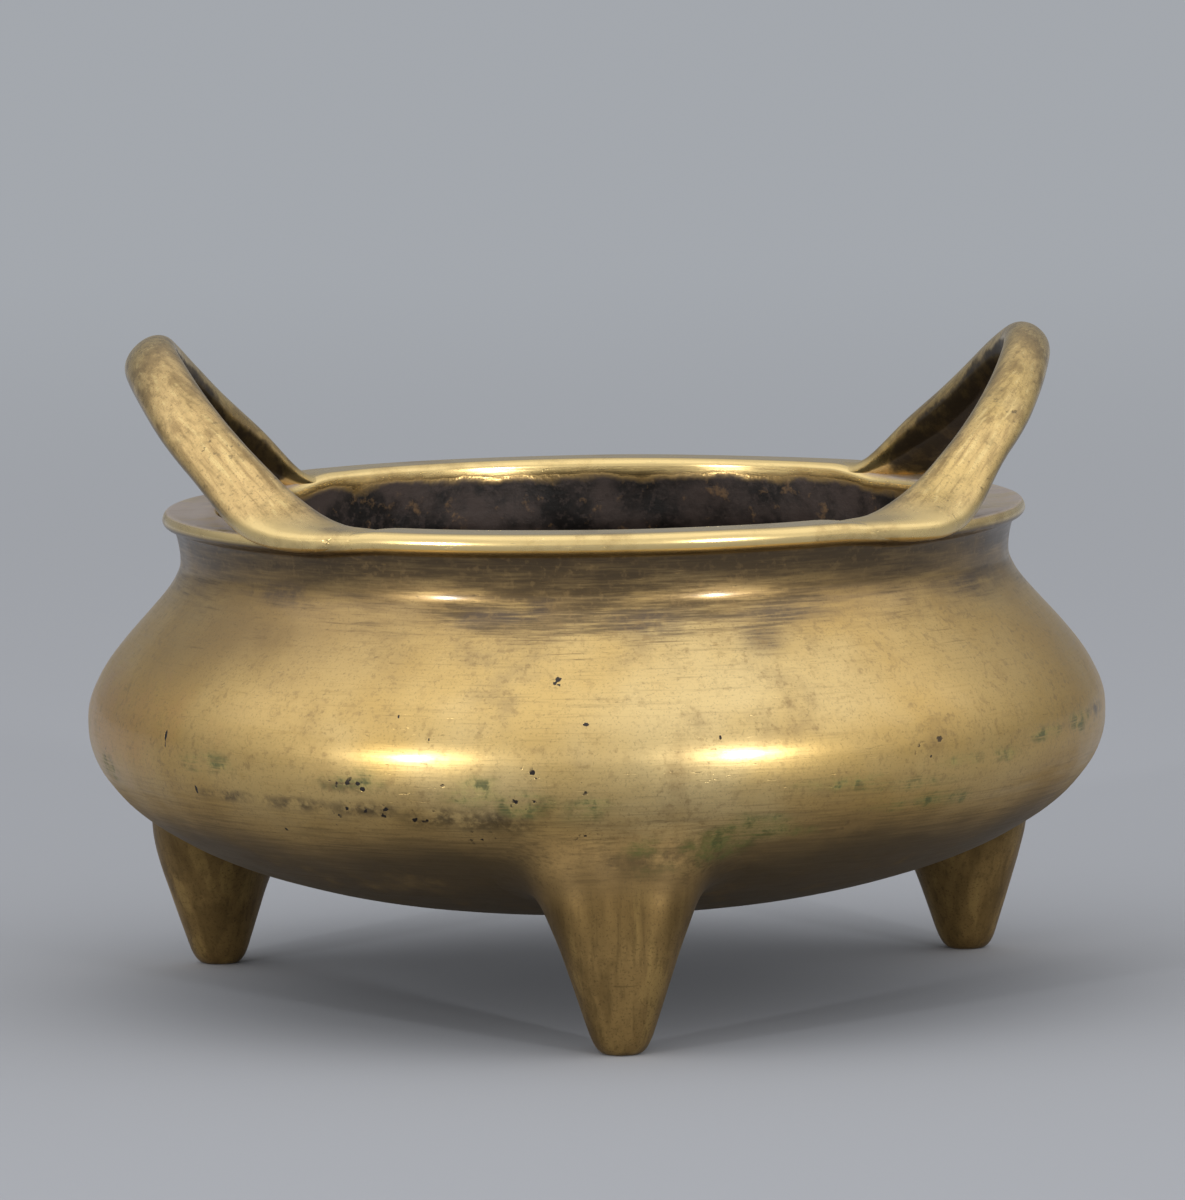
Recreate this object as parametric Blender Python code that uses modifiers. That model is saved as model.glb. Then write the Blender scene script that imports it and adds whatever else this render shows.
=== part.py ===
import math

import bmesh
import bpy
from mathutils import Matrix, Vector, geometry

# All sizes are in metres and angles in degrees. The front foot points to -Y and the ground is at Z = 0.

# Bowl, stacked from the ground up
GROUND_CLEARANCE = 0.0126
UNDERSIDE_DEPTH = 0.0284
SHOULDER_HEIGHT = 0.0235
NECK_TO_RIM = 0.0075
BELLY_RADIUS = 0.0750
NECK_RADIUS = 0.0609
LIP_OVERHANG = 0.0026
LIP_EDGE = 0.0026
MOUTH_ROUNDING = 0.0012
RIM_RISE = 0.0013
UNDERSIDE_FULLNESS = 2.1
SHOULDER_SWELL = 0.0101
NECK_HOLLOW = 0.0057

# Walls of the bowl
NECK_WALL = 0.0056
BELLY_WALL = 0.0045
BASE_WALL = 0.0050

# Raised parts of the rim, measured from the front and the back
RISE_FULL_ANGLE = 31.0
RISE_END_ANGLE = 42.0

# Feet
FOOT_INSET = 0.0094
FOOT_FRONT_INSET = 0.0013
FOOT_PAD_RADIUS = 0.0024
FOOT_TIP_RADIUS = 0.0039
FOOT_TIP_ROUNDING = 0.0015
FOOT_ROOT_RADIUS = 0.0094
FOOT_FLARE_DROP = 0.0034
FOOT_FLARE_SLOPE = 0.9
FOOT_FLARE_SOFTNESS = 0.0016
FOOT_RING_SPACING = 1.5
FOOT_TOP_DROP = 0.0030
FOOT_SPIGOT_RADIUS = 0.0030
FOOT_SPIGOT_LENGTH = 0.0024

# Handles
HANDLE_ROOT_ANGLE = 41.0
HANDLE_RISE = 0.0220
HANDLE_REACH = 0.0192
HANDLE_CROWN = 0.0160
BAR_DEPTH = 0.0090
BAR_WIDTH = 0.0064
BAR_SQUARENESS = 2.6
HANDLE_SPIGOT_RADIUS = 0.0014
HANDLE_SPIGOT_LENGTH = 0.0060

# Clearance at every join, how far a spigot runs back into its own piece, and the reach of a trimming block
JOIN_GAP = 0.0003
SPIGOT_BACKING = 0.0020
TRIM_RADIUS = 2 * BELLY_RADIUS

# Facets
TURN_STEPS = 72
OUTSIDE_STEPS = 11
INSIDE_STEPS = 7
LIP_STEPS = 4
FOOT_SIDES = 30
FOOT_RINGS = 8
BAR_SIDES = 18
BAR_STEPS = 12
SPIGOT_SIDES = 20
MERGE_DISTANCE = 0.00001
SHARP_ANGLE = 35.0

# Finish read from the photograph
BRONZE_METALLIC = 0.9
BELLY_COLOUR = (0.44, 0.31, 0.11)
HANDLE_COLOUR = (0.50, 0.37, 0.15)
FOOT_COLOUR = (0.36, 0.26, 0.11)
BELLY_ROUGHNESS = 0.36
HANDLE_ROUGHNESS = 0.40
FOOT_ROUGHNESS = 0.44

# Sizes that follow from the ones above
BELLY_HEIGHT = GROUND_CLEARANCE + UNDERSIDE_DEPTH
NECK_HEIGHT = BELLY_HEIGHT + SHOULDER_HEIGHT
RIM_HEIGHT = NECK_HEIGHT + NECK_TO_RIM
LIP_RADIUS = NECK_RADIUS + LIP_OVERHANG
MOUTH_RADIUS = NECK_RADIUS - NECK_WALL
ROOT_RADIUS = (LIP_RADIUS + MOUTH_RADIUS) / 2
FOOT_CIRCLE = BELLY_RADIUS - FOOT_INSET
FOOT_FRONT = BELLY_RADIUS - FOOT_FRONT_INSET


def clear_scene():
    for item in list(bpy.data.objects):
        bpy.data.objects.remove(item, do_unlink=True)


def new_collection(name):
    collection = bpy.data.collections.new(name)
    bpy.context.scene.collection.children.link(collection)
    return collection


def new_object(name, data, collection):
    item = bpy.data.objects.new(name, data)
    collection.objects.link(item)
    return item


def hide_helper(item):
    item.hide_render = True
    item.display_type = "WIRE"


def bronze(name, colour, roughness):
    material = bpy.data.materials.new(name)
    material.use_nodes = True
    shader = material.node_tree.nodes["Principled BSDF"]
    shader.inputs["Base Color"].default_value = (*colour, 1.0)
    shader.inputs["Metallic"].default_value = BRONZE_METALLIC
    shader.inputs["Roughness"].default_value = roughness
    return material


def finish_piece(item, colour, roughness, parent):
    item.data.materials.clear()
    item.data.materials.append(bronze(item.name + "_bronze", colour, roughness))
    item.data.shade_smooth()
    item.data.set_sharp_from_angle(angle=math.radians(SHARP_ANGLE))
    item.parent = parent


def evaluated_mesh(item):
    bpy.context.view_layer.update()
    depsgraph = bpy.context.evaluated_depsgraph_get()
    return bpy.data.meshes.new_from_object(item.evaluated_get(depsgraph), depsgraph=depsgraph)


def boolean(item, other, operation):
    modifier = item.modifiers.new(other.name, "BOOLEAN")
    modifier.operation = operation
    modifier.solver = "EXACT"
    modifier.object = other


def bezier(start, start_handle, end_handle, end, steps):
    ends = [Vector(point).to_3d() for point in (start, start_handle, end_handle, end)]
    return [tuple(point.xy) for point in geometry.interpolate_bezier(*ends, steps + 1)]


def arc(centre, radius, first, last, steps):
    points = []
    for step in range(steps + 1):
        angle = math.radians(first + (last - first) * step / steps)
        points.append((centre[0] + radius * math.cos(angle), centre[1] + radius * math.sin(angle)))
    return points


# The rounded underside is a superellipse between the widest circle and the middle of the base
def underside_point(reach, depth, turn):
    power = 2 / UNDERSIDE_FULLNESS
    across = reach * max(math.cos(turn), 0.0) ** power
    return (across, BELLY_HEIGHT - depth * math.sin(turn) ** power)


def underside(reach, depth, steps):
    turns = [math.pi / 2 * step / steps for step in range(steps)]
    points = [underside_point(reach, depth, turn) for turn in turns]
    return points + [(0.0, BELLY_HEIGHT - depth)]


# Height and slope of the bowl's underside at a distance from its axis
def underside_height(across):
    share = (across / BELLY_RADIUS) ** UNDERSIDE_FULLNESS
    return BELLY_HEIGHT - UNDERSIDE_DEPTH * (1 - share) ** (1 / UNDERSIDE_FULLNESS)


def underside_slope(across):
    share = (across / BELLY_RADIUS) ** UNDERSIDE_FULLNESS
    steepness = (1 - share) ** (1 / UNDERSIDE_FULLNESS - 1)
    return UNDERSIDE_DEPTH / BELLY_RADIUS * (across / BELLY_RADIUS) ** (UNDERSIDE_FULLNESS - 1) * steepness


# Outside of the bowl from the top of the lip to the middle of the base, grown by a clearance
def outer_profile(grow):
    edge = LIP_EDGE / 2 + grow
    lip_centre = (LIP_RADIUS - LIP_EDGE / 2, RIM_HEIGHT - LIP_EDGE / 2)
    lip = arc(lip_centre, edge, 90, -90, LIP_STEPS)
    neck = (NECK_RADIUS + grow, NECK_HEIGHT)
    neck_pull = (NECK_RADIUS + grow, (NECK_HEIGHT + lip[-1][1]) / 2)
    flare = bezier(lip[-1], ((neck[0] + lip[-1][0]) / 2, lip[-1][1]), neck_pull, neck, LIP_STEPS)
    belly = (BELLY_RADIUS + grow, BELLY_HEIGHT)
    shoulder = bezier(
        neck,
        (neck[0], NECK_HEIGHT - NECK_HOLLOW),
        (belly[0], BELLY_HEIGHT + SHOULDER_SWELL),
        belly,
        OUTSIDE_STEPS,
    )
    base = underside(belly[0], UNDERSIDE_DEPTH + grow, OUTSIDE_STEPS)
    return lip + flare[1:] + shoulder[1:] + base[1:]


# Inside of the bowl from the middle of its floor to the top of the mouth
def inner_profile():
    inside = BELLY_RADIUS - BELLY_WALL
    floor = underside(inside, UNDERSIDE_DEPTH - BASE_WALL, INSIDE_STEPS)
    floor.reverse()
    shoulder = bezier(
        (inside, BELLY_HEIGHT),
        (inside, BELLY_HEIGHT + SHOULDER_SWELL),
        (MOUTH_RADIUS, NECK_HEIGHT - NECK_HOLLOW),
        (MOUTH_RADIUS, NECK_HEIGHT),
        INSIDE_STEPS,
    )
    edge_centre = (MOUTH_RADIUS + MOUTH_ROUNDING, RIM_HEIGHT - MOUTH_ROUNDING)
    edge = arc(edge_centre, MOUTH_ROUNDING, 180, 90, LIP_STEPS)
    return floor + shoulder[1:] + edge


# A profile in the XZ plane turned once round the Z axis
def turned_mesh(name, profile, collection):
    mesh = bpy.data.meshes.new(name + "_profile")
    points = [(across, 0.0, height) for across, height in profile]
    edges = [(index, index + 1) for index in range(len(points) - 1)]
    mesh.from_pydata(points, edges, [])
    item = new_object(name + "_lathe", mesh, collection)
    screw = item.modifiers.new("turn", "SCREW")
    screw.axis = "Z"
    screw.steps = TURN_STEPS
    screw.render_steps = TURN_STEPS
    screw.use_merge_vertices = True
    screw.merge_threshold = MERGE_DISTANCE
    turned = evaluated_mesh(item)
    turned.name = name
    bpy.data.objects.remove(item, do_unlink=True)
    return turned


# The rim stands higher at the front and the back than under the handles
def raise_rim(mesh):
    for vertex in mesh.vertices:
        lift = min(max((vertex.co.z - NECK_HEIGHT) / NECK_TO_RIM, 0.0), 1.0)
        from_front = math.degrees(math.atan2(abs(vertex.co.x), abs(vertex.co.y)))
        share = min(max((RISE_END_ANGLE - from_front) / (RISE_END_ANGLE - RISE_FULL_ANGLE), 0.0), 1.0)
        vertex.co.z += RIM_RISE * lift * share * share * (3 - 2 * share)


def cylinder(name, radius, length, matrix, collection):
    shape = bmesh.new()
    bmesh.ops.create_cone(
        shape,
        cap_ends=True,
        segments=SPIGOT_SIDES,
        radius1=radius,
        radius2=radius,
        depth=length,
    )
    mesh = bpy.data.meshes.new(name)
    shape.to_mesh(mesh)
    shape.free()
    item = new_object(name, mesh, collection)
    item.matrix_world = matrix
    hide_helper(item)
    return item


# A spigot and its socket share one axis: the spigot stops short of the socket by the join's clearance
def spigot_and_socket(name, seat, inwards, radius, length, collection):
    turn = inwards.to_track_quat("Z", "Y").to_matrix().to_4x4()
    shapes = []
    for label, grow in (("spigot", 0.0), ("socket", JOIN_GAP)):
        middle = seat + inwards * (length + grow - SPIGOT_BACKING) / 2
        depth = length + grow + SPIGOT_BACKING
        place = Matrix.Translation(middle) @ turn
        shapes.append(cylinder(f"{name}_{label}", radius + grow, depth, place, collection))
    return shapes


# Rings of a foot: height, front, back and half width, measured along the radius through the foot.
# A cone rises from the pad, and above it the sides and back flare out into the bowl's underside.
def foot_sections():
    flare_back = FOOT_CIRCLE - FOOT_ROOT_RADIUS
    flare_height = underside_height(flare_back) - FOOT_FLARE_DROP
    flare_length = BELLY_HEIGHT - FOOT_TOP_DROP - flare_height
    sections = [
        (0.0, FOOT_CIRCLE + FOOT_PAD_RADIUS, FOOT_CIRCLE - FOOT_PAD_RADIUS, FOOT_PAD_RADIUS),
        (FOOT_TIP_ROUNDING, FOOT_CIRCLE + FOOT_TIP_RADIUS, FOOT_CIRCLE - FOOT_TIP_RADIUS, FOOT_TIP_RADIUS),
    ]
    for ring in range(FOOT_RINGS + 1):
        rise = flare_length * (ring / FOOT_RINGS) ** FOOT_RING_SPACING
        spread = FOOT_FLARE_SLOPE * rise * rise / (rise + FOOT_FLARE_SOFTNESS)
        sections.append((flare_height + rise, FOOT_FRONT, flare_back - spread, FOOT_ROOT_RADIUS + spread))
    return sections


def foot_mesh(name):
    shape = bmesh.new()
    rings = []
    for height, front, back, half_width in foot_sections():
        ring = []
        for side in range(FOOT_SIDES):
            angle = 2 * math.pi * side / FOOT_SIDES
            across = (front + back) / 2 + (front - back) / 2 * math.cos(angle)
            ring.append(shape.verts.new((across, half_width * math.sin(angle), height)))
        rings.append(ring)
    for lower, upper in zip(rings, rings[1:]):
        for side in range(FOOT_SIDES):
            after = (side + 1) % FOOT_SIDES
            shape.faces.new((lower[side], lower[after], upper[after], upper[side]))
    shape.faces.new(reversed(rings[0]))
    shape.faces.new(rings[-1])
    bmesh.ops.recalc_face_normals(shape, faces=shape.faces)
    mesh = bpy.data.meshes.new(name)
    shape.to_mesh(mesh)
    shape.free()
    return mesh


def foot(name, angle, bowl, envelope, pieces, cutters, parent):
    turn = Matrix.Rotation(math.radians(angle), 4, "Z")
    item = new_object(name, foot_mesh(name), pieces)
    item.rotation_euler.z = math.radians(angle)
    across = (FOOT_FRONT + FOOT_CIRCLE - FOOT_ROOT_RADIUS) / 2
    slope = math.atan(underside_slope(across))
    seat = turn @ Vector((across, 0.0, underside_height(across)))
    inwards = turn.to_3x3() @ Vector((-math.sin(slope), 0.0, math.cos(slope)))
    spigot, socket = spigot_and_socket(
        name,
        seat,
        inwards,
        FOOT_SPIGOT_RADIUS,
        FOOT_SPIGOT_LENGTH,
        cutters,
    )
    finish_piece(item, FOOT_COLOUR, FOOT_ROUGHNESS, parent)
    boolean(item, envelope, "DIFFERENCE")
    boolean(item, spigot, "UNION")
    boolean(bowl, socket, "DIFFERENCE")


# Rounded bar section, drawn flat: its depth lies across the loop and its width in the loop's plane
def bar_section(collection):
    curve = bpy.data.curves.new("bar_section", "CURVE")
    curve.dimensions = "2D"
    spline = curve.splines.new("POLY")
    spline.points.add(BAR_SIDES - 1)
    power = 2 / BAR_SQUARENESS
    for index, point in enumerate(spline.points):
        angle = 2 * math.pi * index / BAR_SIDES
        across = math.copysign(abs(math.cos(angle)) ** power, math.cos(angle)) * BAR_WIDTH / 2
        along = math.copysign(abs(math.sin(angle)) ** power, math.sin(angle)) * BAR_DEPTH / 2
        point.co = (across, along, 0.0, 1.0)
    spline.use_cyclic_u = True
    item = new_object("bar_section", curve, collection)
    hide_helper(item)
    return item


# The loop is drawn flat, from root to crown to root, and its legs run on below the rim before they are trimmed
def handle_mesh(name, section, collection):
    half_span = ROOT_RADIUS * math.sin(math.radians(HANDLE_ROOT_ANGLE))
    length = math.hypot(HANDLE_RISE, HANDLE_REACH)
    leg = Vector((half_span - HANDLE_CROWN, -length, 0.0)).normalized()
    curve = bpy.data.curves.new(name + "_path", "CURVE")
    curve.dimensions = "3D"
    curve.twist_mode = "Z_UP"
    curve.resolution_u = BAR_STEPS
    curve.bevel_mode = "OBJECT"
    curve.bevel_object = section
    curve.use_fill_caps = True
    spline = curve.splines.new("BEZIER")
    spline.bezier_points.add(2)
    for point, side in zip(spline.bezier_points, (-1, 0, 1)):
        point.handle_left_type = "FREE"
        point.handle_right_type = "FREE"
        if side:
            outwards = Vector((side * leg.x, leg.y, 0.0))
            point.co = Vector((side * half_span, 0.0, 0.0)) + outwards * BAR_DEPTH
            point.handle_left = point.co - outwards * BAR_DEPTH
            point.handle_right = point.co - outwards * BAR_DEPTH
        else:
            point.co = (0.0, length, 0.0)
            point.handle_left = (-HANDLE_CROWN, length, 0.0)
            point.handle_right = (HANDLE_CROWN, length, 0.0)
    item = new_object(name + "_path", curve, collection)
    mesh = evaluated_mesh(item)
    bpy.data.objects.remove(item, do_unlink=True)
    mesh.name = name
    shape = bmesh.new()
    shape.from_mesh(mesh)
    bmesh.ops.remove_doubles(shape, verts=shape.verts, dist=MERGE_DISTANCE)
    bmesh.ops.recalc_face_normals(shape, faces=shape.faces)
    shape.to_mesh(mesh)
    shape.free()
    return mesh


def handle(name, angle, section, bowl, trim, pieces, cutters, parent):
    root_angle = math.radians(HANDLE_ROOT_ANGLE)
    lean = math.atan2(HANDLE_RISE, HANDLE_REACH)
    turn = Matrix.Rotation(math.radians(angle), 4, "Z")
    stand = Matrix(((0, math.cos(lean), math.sin(lean)), (1, 0, 0), (0, math.sin(lean), -math.cos(lean))))
    item = new_object(name, handle_mesh(name, section, cutters), pieces)
    item.location = turn @ Vector((ROOT_RADIUS * math.cos(root_angle), 0.0, RIM_HEIGHT))
    item.rotation_euler = (turn.to_3x3() @ stand).to_euler()
    finish_piece(item, HANDLE_COLOUR, HANDLE_ROUGHNESS, parent)
    boolean(item, trim, "DIFFERENCE")
    wall_middle = NECK_RADIUS - NECK_WALL / 2
    for label, side in (("front", -1), ("back", 1)):
        place = Vector((wall_middle * math.cos(root_angle), side * wall_middle * math.sin(root_angle), RIM_HEIGHT))
        spigot, socket = spigot_and_socket(
            f"{name}_{label}",
            turn @ place,
            Vector((0.0, 0.0, -1.0)),
            HANDLE_SPIGOT_RADIUS,
            HANDLE_SPIGOT_LENGTH,
            cutters,
        )
        boolean(item, spigot, "UNION")
        boolean(bowl, socket, "DIFFERENCE")


def build():
    clear_scene()
    pieces = new_collection("tripod_censer")
    cutters = new_collection("cutters")
    parent = new_object("censer", None, pieces)

    bowl_mesh = turned_mesh("bowl", inner_profile() + outer_profile(0.0), cutters)
    raise_rim(bowl_mesh)
    bowl = new_object("bowl", bowl_mesh, pieces)
    finish_piece(bowl, BELLY_COLOUR, BELLY_ROUGHNESS, parent)

    grown = [(0.0, RIM_HEIGHT + JOIN_GAP)] + outer_profile(JOIN_GAP)
    envelope = new_object("foot_trim", turned_mesh("foot_trim", grown, cutters), cutters)
    hide_helper(envelope)
    for name, angle in (("front_foot", -90), ("left_rear_foot", 150), ("right_rear_foot", 30)):
        foot(name, angle, bowl, envelope, pieces, cutters, parent)

    trim_place = Matrix.Translation((0.0, 0.0, RIM_HEIGHT / 2 + JOIN_GAP / 2))
    trim = cylinder("handle_trim", TRIM_RADIUS, RIM_HEIGHT + JOIN_GAP, trim_place, cutters)
    section = bar_section(cutters)
    for name, angle in (("right_handle", 0), ("left_handle", 180)):
        handle(name, angle, section, bowl, trim, pieces, cutters, parent)


build()
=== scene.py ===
from math import atan2, copysign, cos, degrees, hypot, pi, radians, sin

import bpy
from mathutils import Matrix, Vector, geometry, noise


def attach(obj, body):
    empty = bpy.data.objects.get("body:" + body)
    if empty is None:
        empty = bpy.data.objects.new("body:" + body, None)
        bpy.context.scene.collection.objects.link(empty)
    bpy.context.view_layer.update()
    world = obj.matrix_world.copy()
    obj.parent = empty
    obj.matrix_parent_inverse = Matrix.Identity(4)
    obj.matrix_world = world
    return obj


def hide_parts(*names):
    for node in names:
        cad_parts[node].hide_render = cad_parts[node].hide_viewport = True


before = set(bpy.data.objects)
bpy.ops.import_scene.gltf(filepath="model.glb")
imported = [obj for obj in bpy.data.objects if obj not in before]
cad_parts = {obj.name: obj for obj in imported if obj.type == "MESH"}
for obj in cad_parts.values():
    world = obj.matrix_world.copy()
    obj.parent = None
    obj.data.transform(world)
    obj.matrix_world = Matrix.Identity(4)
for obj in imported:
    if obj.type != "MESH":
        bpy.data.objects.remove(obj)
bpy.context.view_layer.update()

mm = 0.001


def editMode():
    bpy.ops.object.mode_set(mode="EDIT")


def objectMode():
    bpy.ops.object.mode_set(mode="OBJECT")


def deselectAll():
    if bpy.context.mode != "OBJECT":
        objectMode()
    bpy.ops.object.select_all(action="DESELECT")


# names the primitive just added and opens it with everything selected
def startPiece(name):
    piece = bpy.context.object
    piece.name = name
    piece.data.name = name
    editMode()
    bpy.ops.mesh.select_all(action="SELECT")
    return piece


# merges what meets and turns the faces outwards
def closeSkin(nearest):
    bpy.ops.mesh.select_all(action="SELECT")
    bpy.ops.mesh.remove_doubles(threshold=nearest)
    bpy.ops.mesh.normals_make_consistent(inside=False)
    objectMode()


def moveOut(piece, amountAt):
    normals = [vertex.normal.copy() for vertex in piece.data.vertices]
    for vertex, normal in zip(piece.data.vertices, normals):
        vertex.co += normal * amountAt(vertex.co)
    piece.data.update()


# 0 before low, 1 past high, eased in between
def smoothStep(value, low, high):
    share = min(max((value - low) / (high - low), 0.0), 1.0)
    return share * share * (3 - 2 * share)


def mixed(first, second, share):
    return first + (second - first) * share


# the lesser of two distances, rounded off where they meet
def softLeast(first, second, easing):
    near = max(easing - abs(first - second), 0.0) / easing
    return min(first, second) - near * near * easing / 4


def bezier(points, steps):
    return geometry.interpolate_bezier(*[Vector(p).to_3d() for p in points], steps + 1)


# slow unevenness, as casting and filing leave it
def swellAt(place, scale):
    return noise.fractal(place * scale, 1.0, 2.0, 2)


def applySmooth(piece, levels):
    rounding = piece.modifiers.new("rounding", "SUBSURF")
    rounding.levels = levels
    rounding.render_levels = levels
    bpy.ops.object.modifier_apply(modifier=rounding.name)


def finishPiece(piece, node, material):
    deselectAll()
    piece.select_set(True)
    bpy.context.view_layer.objects.active = piece
    bpy.ops.object.shade_smooth()
    piece.data.materials.clear()
    piece.data.materials.append(material)
    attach(piece, "root")
    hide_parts(node)
    print("made", piece.name, len(piece.data.polygons), "faces")


def selectEdges(piece, wanted):
    bpy.ops.mesh.select_all(action="DESELECT")
    bpy.ops.mesh.select_mode(type="EDGE")
    objectMode()
    spots = piece.data.vertices
    for edge in piece.data.edges:
        edge.select = wanted(spots[edge.vertices[0]].co, spots[edge.vertices[1]].co)
    editMode()


# a ring is pulled up once, cut into levels, and every level is then set in place
def towerOfRings(name, openRings, markName, markAt):
    sides = len(openRings[0])
    closing = [[sum(ring, Vector()) / sides] * sides for ring in (openRings[0], openRings[-1])]
    rings = [closing[0]] + openRings + [closing[1]]
    levels = len(rings) - 1
    deselectAll()
    bpy.ops.mesh.primitive_circle_add(vertices=sides, radius=mm, location=(0, 0, 0))
    piece = startPiece(name)
    bpy.ops.mesh.extrude_region_move(TRANSFORM_OT_translate={"value": (0, 0, levels * mm)})
    selectEdges(piece, lambda first, second: abs(first.z - second.z) > mm / 2)
    bpy.ops.mesh.subdivide(number_cuts=levels - 1)
    objectMode()
    marks = piece.data.attributes.new(markName, "FLOAT", "POINT")
    for vertex in piece.data.vertices:
        level = round(vertex.co.z / mm)
        side = round(atan2(vertex.co.y, vertex.co.x) / (2 * pi) * sides) % sides
        vertex.co = rings[level][side]
        marks.data[vertex.index].value = markAt(level - 1, side)
    editMode()
    closeSkin(0.001 * mm)
    return piece


# bowl: a profile drawn by pulling a point along, then spun

bowlSize = {
    "baseHeight": 12.6 * mm,
    "bellyHeight": 41.0 * mm,
    "neckHeight": 64.5 * mm,
    "rimHeight": 72.0 * mm,
    "bellyRadius": 75.0 * mm,
    "neckRadius": 60.9 * mm,
    "lipRadius": 63.5 * mm,
    "mouthRadius": 55.3 * mm,
    "lipEdge": 1.3 * mm,
    "mouthRounding": 1.2 * mm,
    "fullness": 2.1,
    "shoulderSwell": 10.1 * mm,
    "neckHollow": 5.7 * mm,
    "bellyWall": 4.5 * mm,
    "baseWall": 5.0 * mm,
    "rimRise": 1.3 * mm,
    "riseBelow": 1.0 * mm,  # the rise starts this far under the neck
    "riseAbove": 2.0 * mm,
    "riseGain": 1.25,
    "frontRise": (31.0, 44.0),  # degrees from the front over which the rise fades
    "backRise": (42.0, 53.0),
    "ledgeDish": 0.40 * mm,
    "ledgeBand": 1.0 * mm,
    "ledgeFrom": (50.0, 60.0),
    "spinSteps": 144,
    "undersideSteps": 30,
    "shoulderSteps": 24,
    "flareSteps": 8,
    "lipSteps": 8,
    "edgeSteps": 6,
    "topSteps": 5,
    "wallSteps": 20,
    "floorSteps": 22,
    "unevenness": 0.12 * mm,
    "swellScale": 28.0,
    "crustLump": 0.75 * mm,
    "crustFrom": (2.5 * mm, 6.0 * mm),  # depth under the rim
    "crustScale": 150.0,
    "lumpScale": 95.0,
}

bowlDepth = bowlSize["bellyHeight"] - bowlSize["baseHeight"]


def undersideCurve(reach, depth, steps):
    power = 2 / bowlSize["fullness"]
    points = [(0.0, bowlSize["bellyHeight"] - depth)]
    for step in range(1, steps + 1):
        turn = pi / 2 * step / steps
        across = reach * sin(turn) ** power
        points.append((across, bowlSize["bellyHeight"] - depth * max(cos(turn), 0.0) ** power))
    return points


def undersideHeight(across):
    share = min(across / bowlSize["bellyRadius"], 1.0) ** bowlSize["fullness"]
    return bowlSize["bellyHeight"] - bowlDepth * (1 - share) ** (1 / bowlSize["fullness"])


def shoulderCurve(belly, neck, steps):
    low = bowlSize["bellyHeight"]
    high = bowlSize["neckHeight"]
    swell = low + bowlSize["shoulderSwell"]
    hollow = high - bowlSize["neckHollow"]
    curve = bezier([(belly, low), (belly, swell), (neck, hollow), (neck, high)], steps)
    return [(p.x, p.y) for p in curve]


def arcCurve(centre, radius, first, last, steps):
    turns = [radians(first + (last - first) * step / steps) for step in range(steps + 1)]
    return [(centre[0] + radius * cos(t), centre[1] + radius * sin(t)) for t in turns]


def bowlProfile():
    s = bowlSize
    outside = undersideCurve(s["bellyRadius"], bowlDepth, s["undersideSteps"])
    outside += shoulderCurve(s["bellyRadius"], s["neckRadius"], s["shoulderSteps"])[1:]
    lipCentre = (s["lipRadius"] - s["lipEdge"], s["rimHeight"] - s["lipEdge"])
    lip = arcCurve(lipCentre, s["lipEdge"], -90, 90, s["lipSteps"])
    neck = outside[-1]
    flare = [
        (neck[0], neck[1]),
        (neck[0], (neck[1] + lip[0][1]) / 2),
        ((neck[0] + lip[0][0]) / 2, lip[0][1]),
        lip[0],
    ]
    outside += [(p.x, p.y) for p in bezier(flare, s["flareSteps"])][1:] + lip[1:]
    edgeCentre = (s["mouthRadius"] + s["mouthRounding"], s["rimHeight"] - s["mouthRounding"])
    edge = arcCurve(edgeCentre, s["mouthRounding"], 90, 180, s["edgeSteps"])
    top = []
    for step in range(1, s["topSteps"]):
        top.append((mixed(lip[-1][0], edge[0][0], step / s["topSteps"]), s["rimHeight"]))
    inside = s["bellyRadius"] - s["bellyWall"]
    wall = shoulderCurve(inside, s["mouthRadius"], s["wallSteps"])
    wall.reverse()
    floor = undersideCurve(inside, bowlDepth - s["baseWall"], s["floorSteps"])
    floor.reverse()
    return outside + top + edge + wall + floor[1:]


def drawBowl():
    profile = bowlProfile()
    levels = len(profile) - 1
    deselectAll()
    bpy.ops.mesh.primitive_plane_add(size=mm, location=(0, 0, 0))
    piece = startPiece("censer_bowl")
    bpy.ops.mesh.merge(type="CENTER")
    bpy.ops.mesh.extrude_region_move(TRANSFORM_OT_translate={"value": (levels * mm, 0, 0)})
    bpy.ops.mesh.select_all(action="SELECT")
    bpy.ops.mesh.subdivide(number_cuts=levels - 1)
    objectMode()
    for vertex in piece.data.vertices:
        across, height = profile[round(vertex.co.x / mm)]
        vertex.co = (across, 0, height)
    editMode()
    bpy.ops.mesh.select_all(action="SELECT")
    bpy.ops.mesh.spin(steps=bowlSize["spinSteps"], angle=2 * pi, center=(0, 0, 0), axis=(0, 0, 1))
    closeSkin(0.02 * mm)
    applySmooth(piece, 1)
    return piece


neckMiddle = (bowlSize["neckRadius"] + bowlSize["mouthRadius"]) / 2
wallCurve = shoulderCurve(bowlSize["bellyRadius"] - bowlSize["bellyWall"] / 2, neckMiddle, 40)


# distance from the axis to the middle of the wall at a height, 0 on the rounded rim
def wallMiddle(height):
    s = bowlSize
    if height > s["rimHeight"] - s["mouthRounding"]:
        return 0.0
    if height > s["neckHeight"]:
        return neckMiddle
    if height > s["bellyHeight"]:
        for before, after in zip(wallCurve, wallCurve[1:]):
            if before[1] <= height <= after[1]:
                climb = max(after[1] - before[1], mm / 1000)
                return mixed(before[0], after[0], (height - before[1]) / climb)
    share = min((s["bellyHeight"] - height) / (bowlDepth - s["baseWall"] / 2), 1.0)
    reach = s["bellyRadius"] - s["bellyWall"] / 2
    return reach * (1 - share ** s["fullness"]) ** (1 / s["fullness"])


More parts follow.
